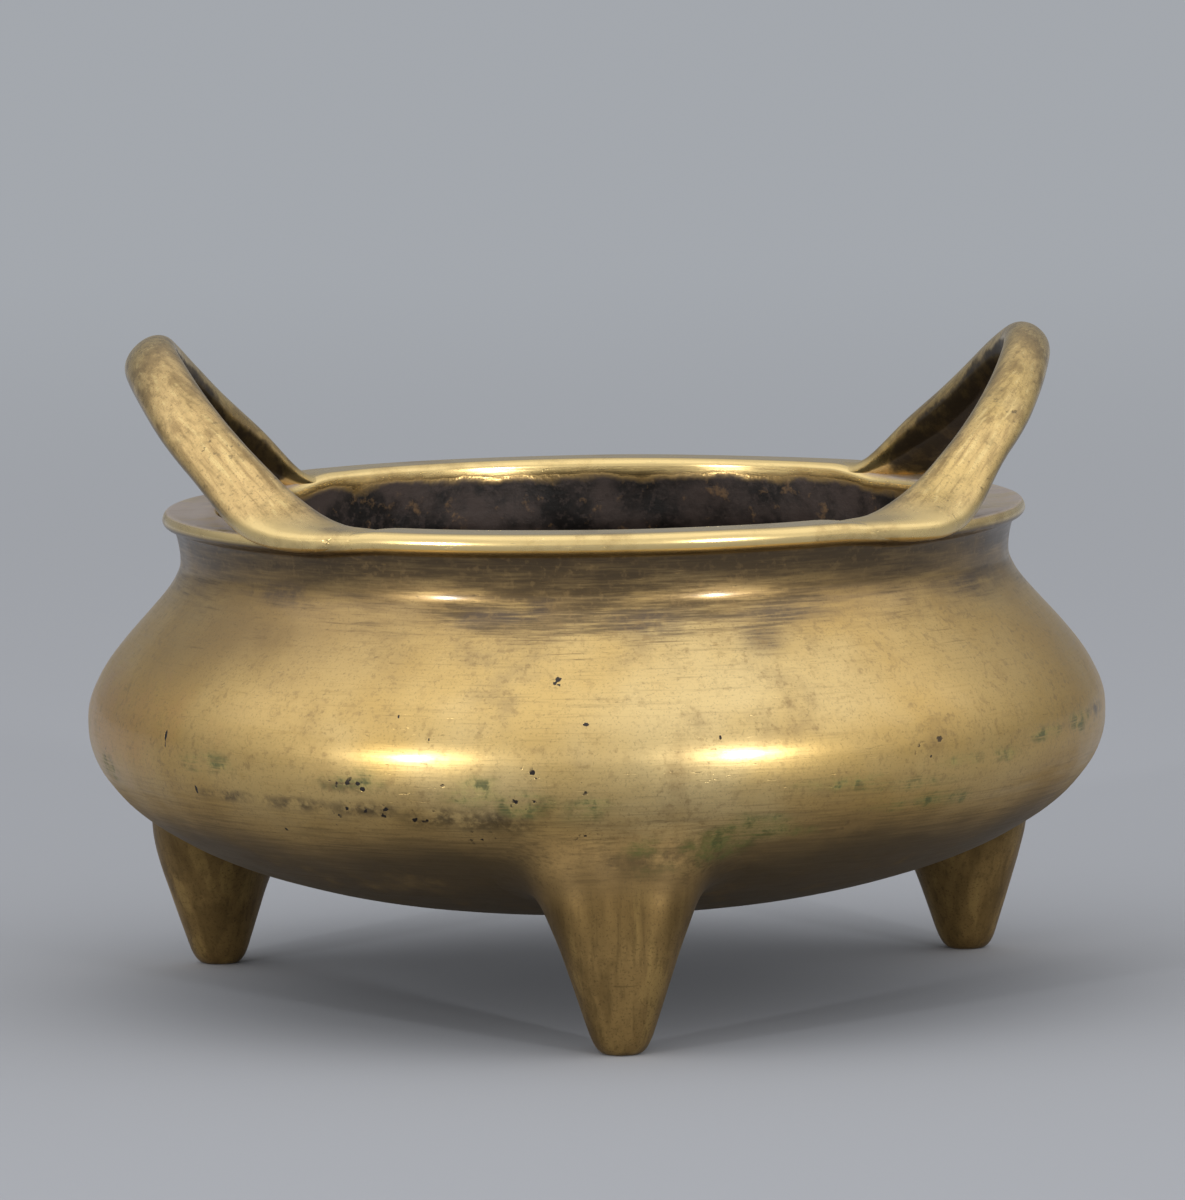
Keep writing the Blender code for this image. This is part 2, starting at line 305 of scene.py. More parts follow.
# rim saddle, ledges under the handles, casting unevenness and the crust on the inner wall
def shapeBowl(piece):
    s = bowlSize
    mesh = piece.data
    depths = mesh.attributes.new("wallDepth", "FLOAT", "POINT")
    normals = [vertex.normal.copy() for vertex in mesh.vertices]
    for vertex, normal in zip(mesh.vertices, normals):
        place = vertex.co.copy()
        across = hypot(place.x, place.y)
        inner = across < wallMiddle(place.z)
        below = s["rimHeight"] - place.z
        depths.data[vertex.index].value = below / mm if inner else 0.0
        fromFront = degrees(atan2(abs(place.x), abs(place.y)))
        raised = 1 - smoothStep(fromFront, *(s["frontRise"] if place.y < 0 else s["backRise"]))
        lift = smoothStep(place.z, s["neckHeight"] - s["riseBelow"], s["rimHeight"] + s["riseAbove"])
        vertex.co.z += s["rimRise"] * min(lift * s["riseGain"], 1.0) * raised
        if below < s["ledgeBand"] and normal.z > 0.3:
            ledge = (across - s["mouthRadius"]) / (s["lipRadius"] - s["mouthRadius"])
            hollow = max(sin(pi * min(max(ledge, 0.0), 1.0)), 0.0)
            vertex.co.z -= s["ledgeDish"] * hollow * smoothStep(fromFront, *s["ledgeFrom"])
        vertex.co += normal * (swellAt(place, s["swellScale"]) * s["unevenness"])
        if inner:
            rough = noise.fractal(place * s["crustScale"], 0.9, 2.1, 4) * 0.6
            rough += max(noise.noise(place * s["lumpScale"] + Vector((3, 7, 1))), 0.0) * 1.2
            vertex.co += normal * (rough * s["crustLump"] * smoothStep(below, *s["crustFrom"]))
    mesh.update()


# feet: a cone whose top spreads out over the underside of the bowl

footSize = {
    "circle": 65.6 * mm,
    "pad": 2.2 * mm,
    "tip": 4.5 * mm,
    "tipRounding": 2.8 * mm,
    "widest": 13.0 * mm,
    "easing": 4.0 * mm,
    "slant": 0.945,  # distance square to the cone's side, per distance across it
    "leanFrom": 14.0 * mm,
    "coneTop": 14.0 * mm,
    "seatMiddle": 62.0 * mm,
    "seatFront": 12.4 * mm,
    "seatBack": 20.0 * mm,
    "seatSide": 22.0 * mm,
    "seatSag": 1.5 * mm,
    "seatSink": 0.22 * mm,  # the rim of the seat dips into the bowl
    "sinkFrom": 0.60,
    "fillet": 8.5 * mm,
    "frontFillet": 4.5 * mm,
    "frontTurn": (0.1, 1.2),
    "fadeFrom": 17.0 * mm,
    "fade": 17.0,
    "sides": 112,
    "padRings": (0.35, 0.7),
    "tipSteps": 7,
    "coneSteps": 10,
    "seatSteps": 40,
    "seatFrom": 22,  # ring where the bowl's finish begins to take over
    "seatFull": 50,
    "buriedMiddle": 59.0 * mm,
    "buriedRings": ((0.95, 1.0), (0.85, 1.7), (0.6, 1.9), (0.3, 1.9), (0.04, 1.9)),
    "buriedOver": 45.0,
    "slideSteps": 6,
    "slideProbe": 0.05 * mm,
    "slideShare": 0.8,
    "unevenness": 0.07 * mm,
    "swellScale": 90.0,
    "swellFrom": (1.0 * mm, 4.0 * mm),
    "joinsBowl": (14.0 * mm, 22.0 * mm),
}

# how far each side opens for every step up, and how the cone leans
feet = {
    "front_foot": {
        "angle": -90.0, "side": 0.335, "out": 0.23, "back": 0.335, "outMost": 8.6 * mm, "lean": 0.08,
    },
    "left_rear_foot": {
        "angle": 149.0, "side": 0.370, "out": 0.28, "back": 0.28, "outMost": 11.4 * mm, "lean": 0.03,
    },
    "right_rear_foot": {
        "angle": 30.0, "side": 0.335, "out": 0.27, "back": 0.36, "outMost": 9.6 * mm, "lean": 0.04,
    },
}


# how far a spot lies outside the bowl
def outsideBowl(spot):
    s = bowlSize
    across = hypot(spot.x, spot.y) / s["bellyRadius"]
    down = max(s["bellyHeight"] - spot.z, 0.0) / bowlDepth
    total = (across ** s["fullness"] + down ** s["fullness"]) ** (1 / s["fullness"]) - 1
    steepX = (across ** (s["fullness"] - 1)) / s["bellyRadius"]
    steepZ = (down ** (s["fullness"] - 1)) / bowlDepth
    return total / max(hypot(steepX, steepZ), 1.0)


# how far a spot lies outside the foot's own cone, which leans inwards as it climbs
def outsideCone(spot, facts):
    s = footSize
    middle = s["circle"] - facts["lean"] * max(spot.z - s["leanFrom"], 0.0)
    away = max(hypot(spot.x - middle, spot.y), 0.01 * mm)
    climb = max(spot.z - s["tipRounding"], 0.0)
    ahead = (spot.x - middle) / away
    side = softLeast(s["tip"] + facts["side"] * climb, s["widest"], s["easing"])
    if ahead > 0:
        other = softLeast(s["tip"] + facts["out"] * climb, facts["outMost"], s["easing"])
    else:
        other = softLeast(s["tip"] + facts["back"] * climb, s["widest"], s["easing"])
    radius = mixed(side, other, ahead ** 4)
    return (away - radius) * s["slant"] + max(spot.z - s["fadeFrom"], 0.0) ** 2 * s["fade"]


def outsideFoot(spot, facts):
    s = footSize
    ahead = spot.x - s["circle"]
    front = smoothStep(atan2(ahead, abs(spot.y) + 0.1 * mm), *s["frontTurn"])
    fillet = mixed(s["fillet"], s["frontFillet"], front)
    return softLeast(outsideBowl(spot), outsideCone(spot, facts), fillet)


# slides a spot onto the skin that joins the cone to the bowl
def ontoFoot(spot, facts, proud):
    step = footSize["slideProbe"]
    for _ in range(footSize["slideSteps"]):
        gap = outsideFoot(spot, facts)
        slope = Vector((
            outsideFoot(spot + Vector((step, 0, 0)), facts) - gap,
            outsideFoot(spot + Vector((0, step, 0)), facts) - gap,
            outsideFoot(spot + Vector((0, 0, step)), facts) - gap,
        )) / step
        move = slope * ((gap - proud) / max(slope.length_squared, 0.1))
        spot = spot - move * footSize["slideShare"]
    return spot


# a column of the foot in its own frame: x runs outwards from the bowl's axis, y sideways
def footColumn(turn, facts):
    s = footSize
    out = cos(turn)
    side = sin(turn)
    column = []
    for share in s["padRings"]:
        column.append(Vector((s["circle"] + s["pad"] * share * out, s["pad"] * share * side, 0.0)))
    steepness = mixed(facts["side"], facts["out"] if out > 0 else facts["back"], out ** 4)
    heel = s["tip"] - steepness * s["tipRounding"]
    for step in range(s["tipSteps"] + 1):
        share = step / s["tipSteps"]
        radius = mixed(mixed(s["pad"], heel, share), mixed(heel, s["tip"], share), share)
        height = s["tipRounding"] * share ** 2
        column.append(Vector((s["circle"] + radius * out, radius * side, height)))
    for step in range(1, s["coneSteps"] + 1):
        height = mixed(s["tipRounding"], s["coneTop"], step / s["coneSteps"])
        radius = s["tip"] + facts["side"] * (height - s["tipRounding"])
        spot = Vector((s["circle"] + radius * out, radius * side, height))
        column.append(ontoFoot(spot, facts, 0.0))
    start = column[-1]
    reach = s["seatFront"] if out > 0 else s["seatBack"]
    seat = Vector((s["seatMiddle"] + reach * out, s["seatSide"] * side))
    end = Vector((seat.x, seat.y, undersideHeight(seat.length)))
    for step in range(1, s["seatSteps"] + 1):
        share = step / s["seatSteps"]
        spot = start.lerp(end, share)
        spot.z -= sin(pi * share) * s["seatSag"] * max(-out, 0.0)
        column.append(ontoFoot(spot, facts, -s["seatSink"] * smoothStep(share, s["sinkFrom"], 1.0)))
    centre = Vector((s["buriedMiddle"], 0))
    for share, sink in s["buriedRings"]:
        flat = centre.lerp(seat, share)
        spot = Vector((flat.x, flat.y, undersideHeight(flat.length)))
        column.append(spot.lerp(Vector((0, 0, bowlSize["bellyHeight"])), sink / s["buriedOver"]))
    return column


def drawFoot(node, facts):
    s = footSize
    half = [footColumn(2 * pi * index / s["sides"], facts) for index in range(s["sides"] // 2 + 1)]
    columns = half + [[Vector((p.x, -p.y, p.z)) for p in column] for column in reversed(half[1:-1])]
    turn = radians(facts["angle"])
    rings = []
    for level in range(len(columns[0])):
        ring = []
        for column in columns:
            spot = column[level]
            ring.append(Vector((
                spot.x * cos(turn) - spot.y * sin(turn),
                spot.x * sin(turn) + spot.y * cos(turn),
                spot.z,
            )))
        rings.append(ring)

    def coneShare(level, side):
        return 1 - smoothStep(level, s["seatFrom"], s["seatFull"])

    def uneven(place):
        own = swellAt(place, s["swellScale"]) * s["unevenness"] * smoothStep(place.z, *s["swellFrom"])
        bowlSwell = swellAt(place, bowlSize["swellScale"]) * bowlSize["unevenness"]
        return mixed(own, bowlSwell, smoothStep(place.z, *s["joinsBowl"]))

    piece = towerOfRings("censer_" + node, rings, "cone", coneShare)
    moveOut(piece, uneven)
    return piece


# handles: the rim's bead leaves the rim, bends up and arches over

handleSize = {
    "rimMiddle": 59.4 * mm,
    "beadHeight": 71.45 * mm,
    "beadDepth": 4.0 * mm,
    "beadWidth": 1.75 * mm,
    "rootX": 44.8 * mm,
    "rootHeight": 72.0 * mm,
    "halfSpan": 39.0 * mm,
    "rise": 22.0 * mm,
    "reach": {"left_handle": 19.9 * mm, "right_handle": 19.2 * mm},
    "bow": 1.8 * mm,
    "lead": 9.0 * mm,
    "crown": 16.0 * mm,
    "barDepth": {"left_handle": 4.5 * mm, "right_handle": 3.8 * mm},
    "rootFlare": {"left_handle": 1.3 * mm, "right_handle": 2.2 * mm},
    "barWidth": 3.2 * mm,
    "roundness": 2.05,
    "crispness": 3.4,
    "crispSpan": (8.0 * mm, 24.0 * mm),  # away from the crown
    "crownTaper": 0.05,
    "taperSpan": (4.0 * mm, 26.0 * mm),
    "frontLeg": {"rimStart": 66.0, "rimLeave": 51.5, "legStart": 0.35, "bend": 6.5 * mm},
    "rearLeg": {"rimStart": 59.0, "rimLeave": 45.0, "legStart": 0.40, "bend": 6.0 * mm},
    "sides": 56,
    "rimSteps": 16,
    "bendSteps": 28,
    "loopSteps": 120,
    "endSink": 0.55 * mm,
    "sinkRings": (0, 16),  # rings counted from the end of a leg
    "barRings": (6, 60),
    "flareRings": (12, 30),
    "flareEnds": (34, 62),
    "innerRings": (20, 38),
    "unevenness": 0.10 * mm,
    "swellScale": 80.0,
}


# from the rim up to the crown, with y away from the crown
def handleHalf(leg, reach):
    s = handleSize
    points = []
    for step in range(s["rimSteps"] + 1):
        turn = radians(mixed(leg["rimStart"], leg["rimLeave"], step / s["rimSteps"]))
        points.append(Vector((cos(turn), sin(turn), 0)) * s["rimMiddle"])
        points[-1].z = s["beadHeight"]
    leave = radians(leg["rimLeave"])
    along = Vector((sin(leave), -cos(leave), 0))
    length = hypot(s["rise"], reach)
    lead = Vector((length, s["crown"] - s["halfSpan"])).normalized() * s["lead"]
    flat = [(-lead.x, s["halfSpan"] - lead.y), (0, s["halfSpan"]), (length, s["crown"]), (length, 0)]
    loop = []
    for spot in bezier(flat, s["loopSteps"]):
        share = spot.x / length
        bowed = s["bow"] * sin(pi * min(max(share, 0.0), 1.0))
        outwards = s["rootX"] + reach * share + bowed
        loop.append(Vector((outwards, spot.y, s["rootHeight"] + s["rise"] * share)))
    first = round(leg["legStart"] * s["loopSteps"])
    upwards = (loop[first + 1] - loop[first]).normalized()
    root = points[-1]
    bend = [root, root + along * leg["bend"], loop[first] - upwards * leg["bend"], loop[first]]
    points += bezier(bend, s["bendSteps"])[1:]
    return points + loop[first + 1:]


def handlePath(reach):
    rear = handleHalf(handleSize["rearLeg"], reach)
    front = handleHalf(handleSize["frontLeg"], reach)
    return rear + [Vector((p.x, -p.y, p.z)) for p in reversed(front[:-1])]


def signedPower(value, power):
    return copysign(abs(value) ** power, value)


def drawHandle(node, side):
    s = handleSize
    path = handlePath(s["reach"][node])
    last = len(path) - 1
    lean = atan2(s["rise"], s["reach"][node])
    loopNormal = Vector((sin(lean), 0, -cos(lean)))
    rings = []
    for index, spot in enumerate(path):
        ahead = (path[min(index + 1, last)] - path[max(index - 1, 0)]).normalized()
        fromEnd = min(index, last - index)
        formed = smoothStep(fromEnd, *s["barRings"])
        radial = Vector((spot.x, spot.y, 0)).normalized()
        depthAxis = radial.lerp(loopNormal, formed)
        depthAxis = (depthAxis - ahead * depthAxis.dot(ahead)).normalized()
        widthAxis = ahead.cross(depthAxis)
        taper = 1 - s["crownTaper"] * (1 - smoothStep(abs(spot.y), *s["taperSpan"]))
        sunk = s["endSink"] * (1 - smoothStep(fromEnd, *s["sinkRings"]))
        depth = (mixed(s["beadDepth"], s["barDepth"][node], formed) - sunk) * taper
        width = (mixed(s["beadWidth"], s["barWidth"], formed) - sunk) * taper
        crisp = mixed(s["roundness"], s["crispness"], smoothStep(abs(spot.y), *s["crispSpan"]))
        flare = s["rootFlare"][node] * smoothStep(fromEnd, *s["flareRings"])
        flare *= 1 - smoothStep(fromEnd, *s["flareEnds"])
        ring = []
        for step in range(s["sides"]):
            turn = 2 * pi * step / s["sides"]
            power = 2 / (crisp if step <= s["sides"] // 4 else s["roundness"])
            reach = depth + flare if cos(turn) > 0 else depth
            across = signedPower(cos(turn), power) * reach
            up = signedPower(sin(turn), power) * width
            point = spot + depthAxis * across + widthAxis * up
            ring.append(Vector((point.x * side, point.y, point.z)))
        rings.append(ring)

    def innerShare(level, step):
        facing = max(-sin(2 * pi * step / s["sides"]), 0.0)
        return facing * smoothStep(min(level, last - level), *s["innerRings"])

    piece = towerOfRings("censer_" + node, rings, "inner", innerShare)
    moveOut(piece, lambda place: swellAt(place, s["swellScale"]) * s["unevenness"])
    return piece


# materials

def newMaterial(name):
    material = bpy.data.materials.new(name)
    material.use_nodes = True
    material.node_tree.nodes.clear()
    return material, material.node_tree


def setInput(tree, socket, value):
    if isinstance(value, bpy.types.NodeSocket):
        tree.links.new(value, socket)
    elif socket.type == "RGBA" and len(value) == 3:
        socket.default_value = (*value, 1.0)
    else:
        socket.default_value = value


def addNode(tree, kind, inputs, **settings):
    node = tree.nodes.new("ShaderNode" + kind)
    for name, value in settings.items():
        setattr(node, name, value)
    for name, value in inputs.items():
        setInput(tree, node.inputs[name], value)
    return node


def calc(tree, operation, first, second=0.0):
    return addNode(tree, "Math", {0: first, 1: second}, operation=operation).outputs[0]


def vectorCalc(tree, operation, *vectors):
    return addNode(tree, "VectorMath", dict(enumerate(vectors)), operation=operation)


def scaled(tree, vector, amounts):
    return vectorCalc(tree, "MULTIPLY", vector, amounts).outputs[0]


def addScaled(tree, vector, amounts, shift):
    return vectorCalc(tree, "MULTIPLY_ADD", vector, amounts, shift).outputs[0]


def vectorLength(tree, vector):
    return vectorCalc(tree, "LENGTH", vector).outputs["Value"]


def partsOf(tree, vector):
    return addNode(tree, "SeparateXYZ", {0: vector}).outputs


def remap(tree, value, low, high, toLow=0.0, toHigh=1.0):
    amounts = dict(enumerate((value, low, high, toLow, toHigh)))
    return addNode(tree, "MapRange", amounts, interpolation_type="SMOOTHSTEP").outputs[0]


def grain(tree, vector, scale, detail, roughness, depth=None):
    inputs = {"Vector": vector, "Scale": scale, "Detail": detail, "Roughness": roughness}
    if depth is None:
        return addNode(tree, "TexNoise", inputs).outputs[0]
    inputs["W"] = depth
    return addNode(tree, "TexNoise", inputs, noise_dimensions="4D").outputs[0]


def blend(tree, share, first, second):
    return addNode(tree, "Mix", {0: share, 6: first, 7: second}, data_type="RGBA").outputs[2]


# a 0 to 1 field turned into plus and minus half the amount
def centred(tree, value, amount):
    inputs = {0: value, 1: amount, 2: -amount / 2}
    return addNode(tree, "Math", inputs, operation="MULTIPLY_ADD").outputs[0]


def times(tree, *values):
    total = values[0]
    for value in values[1:]:
        total = calc(tree, "MULTIPLY", total, value)
    return total


def most(tree, values):
    total = values[0]
    for value in values[1:]:
        total = calc(tree, "MAXIMUM", total, value)
    return total


def pointField(tree, name):
    return addNode(tree, "Attribute", {}, attribute_name=name).outputs["Fac"]


# blends the colour towards a tint; it lays stains, and also painted shade and the painted reflection on
# the ledges
def stainAndPaintedLight(tree, colour, tint, *shares):
    return blend(tree, times(tree, *shares), colour, bronze[tint])


# stains one over the other: tint, the field it follows, where it starts and is full, strength
def layered(tree, f, colour, layers):
    for tint, field, span, strength in layers:
        colour = stainAndPaintedLight(tree, colour, tint, remap(tree, f[field], *span), strength)
    return colour


# lines that run round the bowl, as polishing leaves them
def streaks(tree, place, flat, length, fineness, detail):
    around = vectorCalc(tree, "NORMALIZE", flat).outputs[0]
    lift = scaled(tree, place, (0, 0, fineness))
    turned = addScaled(tree, around, (length, length, length), lift)
    depth = calc(tree, "MULTIPLY", vectorLength(tree, flat), fineness)
    return grain(tree, turned, 1.0, detail, 0.6, depth)


# scattered marks drawn out along one direction
def dashes(tree, place, turn, scale):
    drawnOut = addNode(tree, "Mapping", {"Vector": place, "Rotation": turn, "Scale": scale})
    return grain(tree, drawnOut.outputs[0], 1.0, 2.0, 0.5)


# squeezes space along the legs of the handles, the same on all four
def alongLegs(tree, place, stretch):
    s = handleSize
    leg = Vector((s["reach"]["right_handle"], s["crown"] - s["halfSpan"], s["rise"])).normalized()
    mirrored = vectorCalc(tree, "ABSOLUTE", place).outputs[0]
    climb = vectorCalc(tree, "DOT_PRODUCT", mirrored, leg).outputs["Value"]
    shift = vectorCalc(tree, "SCALE", leg * (stretch - 1))
    setInput(tree, shift.inputs["Scale"], climb)
    return addScaled(tree, mirrored, (1, 1, 1), shift.outputs[0])


shoulderLine = shoulderCurve(bowlSize["bellyRadius"], bowlSize["neckRadius"], 60)


def bowlRadius(height):
    s = bowlSize
    if height < s["bellyHeight"]:
        share = (s["bellyHeight"] - height) / bowlDepth
        return s["bellyRadius"] * (1 - share ** s["fullness"]) ** (1 / s["fullness"])
    for before, after in zip(shoulderLine, shoulderLine[1:]):
        if before[1] <= height <= after[1]:
            return before[0]
    return s["neckRadius"]


# a spot on the bowl's outside: degrees from the front, height, half width and half height in mm
def spotMask(tree, place, ragged, spot, inner):
    azimuth, height, halfWidth, halfHeight = spot
    radius = bowlRadius(height * mm)
    turn = radians(azimuth)
    middle = Vector((radius * sin(turn), -radius * cos(turn), height * mm))
    amounts = Vector((1 / halfWidth, 1 / halfWidth, 1 / halfHeight)) / mm
    shift = Vector([-a * b for a, b in zip(middle, amounts)])
    gap = vectorLength(tree, addScaled(tree, place, amounts, shift))
    return remap(tree, calc(tree, "ADD", gap, ragged), 1.0, inner)


def spotMasks(tree, place, ragged, spots, inner):
    return most(tree, [spotMask(tree, place, ragged, spot, inner) for spot in spots])


bronze = {
    "gold": (0.650, 0.442, 0.150),
    "pale": (0.710, 0.525, 0.228),
    "veil": (0.430, 0.305, 0.130),
    "orange": (0.600, 0.330, 0.110),
    "ochre": (0.565, 0.355, 0.092),
    "brown": (0.290, 0.183, 0.066),
    "olive": (0.245, 0.175, 0.068),
    # dark brown for soot and patina, also laid as painted shade under the lip, on the feet's tops, above
    # the front foot and on the handles' downward faces
    "darkBrown": (0.074, 0.045, 0.015),
    "violet": (0.098, 0.066, 0.042),
    # umber also serves as painted shade on the downward faces of the belly and the inner faces of the
    # handles
    "umber": (0.075, 0.050, 0.021),
    "dark": (0.022, 0.015, 0.011),
    "green": (0.205, 0.205, 0.055),
    "deepGreen": (0.070, 0.080, 0.024),
    # pale grey-pink for the up-facing ledges: a painted reflection of the pale ceiling
    "ledge": (0.480, 0.405, 0.370),
    "crustDark": (0.007, 0.005, 0.004),
    "crustBrown": (0.054, 0.038, 0.032),
    "crustOchre": (0.200, 0.115, 0.050),
    "polished": (0.840, 0.630, 0.270),
}

gloss = {
    "coat": 0.33,
    "handleCoat": 0.264,
    "coatRoughness": 0.16,
    "coatIor": 1.9,
    "specular": 0.3,
    "handleMetal": 0.95,
    "bumpStrength": 0.45,
    "bumpDistance": 0.10 * mm,
}

# scale, detail and roughness of each noise
noiseFields = {
    "clouds": (34.0, 3.0, 0.55),
    "blots": (105.0, 5.0, 0.62),
    "mottle": (330.0, 4.0, 0.65),
    "specks": (900.0, 2.0, 0.6),
    "dust": (3000.0, 2.0, 0.6),
}

uprightFields = {"staves": (340.0, 2.0, 0.5), "upright": (1100.0, 3.0, 0.6)}

legFields = {"legLines": (0.07, 1250.0, 3.0, 0.6), "legPatches": (0.45, 260.0, 4.0, 0.6)}

# turning, stretch and the span over which a scratch shows
scratchRuns = [
    ((0.3, 0.9, 0.2), (95.0, 1500.0, 1500.0), (0.735, 0.79)),
    ((0.1, -0.4, 1.1), (95.0, 1700.0, 1700.0), (0.745, 0.80)),
]

# from where each stain, and each painted shade, starts to where it is full, in mm: footTop and underside
# are painted shade; lowBelly and the dark band under the lip are partly patina, partly painted shade
stainAndShadeHeights = {
    "footBrown": (1.0, 11.0),
    "footTop": (12.0, 22.0),
    "underside": (34.0, 26.0),
    "lowBelly": (40.0, 29.0),
    "neckStreaks": (53.0, 63.0),
    "neckBrown": (56.5, 65.0),
    "neckPatinaAndShade": (61.5, 69.0),
    "underLip": (71.4, 69.8),
    "ledge": (69.0, 70.5),
    "rubbedRim": (70.0, 70.8),
    "handleRoot": (75.5, 72.7),
}

broadStainsAndShade = {
    "leftGlow": (-74, 43, 34, 9),
    "leftShoulder": (-50, 58, 42, 13),
    "frontNeck": (-1, 62, 46, 11),
    # painted shade on the belly above the front foot
    "overFrontFoot": (2, 26.0, 18, 6.5),
}

verdigris = [
    (-51, 40.2, 9, 2.2), (-76, 36.5, 6, 2.6), (-31, 39.4, 7, 2.6), (-16, 37.8, 5, 2.6),
    (-11, 36.6, 5, 2.4), (-3, 36.0, 4, 2.8), (26, 37.8, 12, 1.5), (34, 37.0, 10, 1.5),
    (41, 39.4, 6, 1.5), (49, 39.6, 5, 1.7), (58, 41.2, 7, 1.5), (21, 31.0, 6, 2.0),
    (31, 34.0, 9, 1.6), (38, 34.2, 7, 1.6), (17, 32.0, 9, 2.6), (11, 29.6, 8, 3.4),
    (5, 26.6, 9, 2.6), (2, 30.0, 6, 2.6), (66, 42.0, 9, 2.4), (130, 37.5, 14, 3.0),
    (-140, 36.5, 17, 3.0), (175, 35.0, 12, 4.0),
]

pitSpots = [
    (-7, 53.6, 0.55, 0.40), (-3.6, 47.6, 0.50, 0.30), (-58, 43.6, 0.24, 1.9), (-21, 46.0, 0.20, 1.0),
    (38, 43.0, 0.60, 0.36), (11, 45.6, 0.20, 0.7), (-53, 36.0, 0.35, 0.9), (-41, 31.2, 0.30, 0.30),
    (-25, 49.0, 0.18, 0.9), (150, 46.0, 0.50, 0.36), (-170, 50.0, 0.40, 0.45), (-110, 44.0, 0.25, 0.9),
]

pitClusters = [
    (-9.2, 40.8, 2.2, 1.6), (-4.2, 38.5, 1.7, 1.2), (-10.4, 36.4, 2.6, 1.5), (-22.8, 34.4, 2.6, 1.4),
    (-33, 33.8, 1.8, 2.2), (-15.7, 31.4, 3.0, 1.8), (-3.6, 31.4, 2.2, 1.4), (-20, 39.8, 1.6, 1.0),
    (-30, 38.6, 6.0, 1.6), (-28, 35.0, 9.0, 1.2), (-7, 53.2, 1.8, 1.3), (6, 27.0, 4.0, 2.0),
    (36, 41.5, 2.4, 1.4), (100, 38.0, 3.0, 2.0), (-150, 37.0, 3.0, 2.0), (178, 40.0, 2.6, 1.6),
    (-75, 38.0, 2.4, 1.6),
]

neckStains = [
    (-16, 61.5, 10, 2.6), (-9, 62.5, 5, 3.0), (4, 60.5, 9, 3.2), (19, 58.0, 6, 4.0), (23, 61.0, 12, 2.2),
    (60, 62.5, 16, 2.4), (-48, 63.5, 16, 2.4), (150, 61.0, 18, 3.0), (-125, 60.0, 16, 3.4),
]

bellySmears = [
    (-48, 35.8, 9, 1.3), (-38, 35.4, 9, 1.5), (-29, 35.2, 9, 1.9), (-20, 34.4, 10, 2.4),
    (-31, 38.8, 7, 1.8), (-14, 33.8, 9, 3.2), (-9, 36.0, 7, 1.8), (3, 28.6, 13, 4.4),
    (11, 29.6, 9, 3.4), (74, 42.5, 7, 2.0), (110, 38.0, 20, 2.6), (-115, 37.0, 22, 2.6),
    (165, 37.0, 20, 2.6), (-165, 40.0, 18, 2.6),
]


# the fields that every finish draws on
def surface(name):
    material, tree = newMaterial(name)
    place = addNode(tree, "TexCoord", {}).outputs["Object"]
    parts = partsOf(tree, place)
    facing = partsOf(tree, addNode(tree, "NewGeometry", {}).outputs["Normal"])[2]
    flat = scaled(tree, place, (1, 1, 0))
    drawnUp = scaled(tree, place, (1.0, 1.0, 0.06))
    f = {
        "place": place,
        "across": parts[0],
        "height": parts[2],
        "flat": flat,
        # facing masks: down and lower carry painted shade, up carries the painted reflection on the ledges
        "down": remap(tree, facing, -0.08, -0.70),
        "lower": remap(tree, facing, 0.16, -0.34),
        "up": remap(tree, facing, 0.60, 0.92),
        "lines": streaks(tree, place, flat, 9.0, 2700.0, 4.0),
        "bands": streaks(tree, place, flat, 6.0, 620.0, 4.0),
        "nicks": remap(tree, streaks(tree, place, flat, 26.0, 2900.0, 2.0), 0.665, 0.72),
    }
    for field, facts in noiseFields.items():
        f[field] = grain(tree, place, *facts)
    for field, facts in uprightFields.items():
        f[field] = grain(tree, drawnUp, *facts)
    f["streaky"] = calc(tree, "ADD", times(tree, f["lines"], 0.55), times(tree, f["bands"], 0.45))
    scratches = [remap(tree, dashes(tree, place, turn, scale), *span) for turn, scale, span in scratchRuns]
    f["scratches"] = most(tree, scratches)
    return material, tree, f


def closeShader(tree, colour, metal, rough, bumpHeight, coat):
    bump = addNode(tree, "Bump", {
        "Strength": gloss["bumpStrength"],
        "Distance": gloss["bumpDistance"],
        "Height": bumpHeight,
    })
    shader = addNode(tree, "BsdfPrincipled", {
        "Base Color": colour,
        "Metallic": metal,
        "Roughness": rough,
        "Normal": bump.outputs[0],
        "Coat Weight": coat,
        "Coat Roughness": gloss["coatRoughness"],
        "Coat IOR": gloss["coatIor"],
        "Specular IOR Level": gloss["specular"],
    })
    addNode(tree, "OutputMaterial", {0: shader.outputs[0]})


def atHeight(tree, height, name, *strengths):
    start, full = stainAndShadeHeights[name]
    return remap(tree, height, start * mm, full * mm, *strengths)


# gold with paler clouds, dull veils and fine lines, before any staining
def bareBronze(tree, f, lineShare):
    colour = blend(tree, remap(tree, f["clouds"], 0.40, 0.64), bronze["gold"], bronze["pale"])
    return layered(tree, f, colour, [
        ("veil", "blots", (0.44, 0.70), 0.55),
        ("olive", "lines", (0.50, 0.72), lineShare),
        ("brown", "mottle", (0.58, 0.74), 0.40),
    ])


# bright metal where hands have rubbed the rim and the roots of the handles
def rubbedBright(tree, f, colour, rubbed):
    return stainAndPaintedLight(tree, colour, "polished", rubbed, remap(tree, f["blots"], 0.64, 0.48, 0.50, 0.97))


# the bowl turns to ochre at its sides, with an orange glow and a brown shoulder on the left
def sideTones(tree, f, ragged, loose):
    colour = bareBronze(tree, f, times(tree, f["turned"], 0.30))
    cloudy = remap(tree, f["clouds"], 0.36, 0.60, 0.95, 0.60)
    colour = stainAndPaintedLight(tree, colour, "ochre", remap(tree, f["sideways"], 0.28, 0.66), cloudy)
    glow = spotMask(tree, f["place"], ragged, broadStainsAndShade["leftGlow"], 0.2)
    colour = stainAndPaintedLight(tree, colour, "orange", glow, 0.55)
    shoulder = spotMask(tree, f["place"], loose, broadStainsAndShade["leftShoulder"], 0.0)
    return stainAndPaintedLight(tree, colour, "brown", shoulder, 0.75)
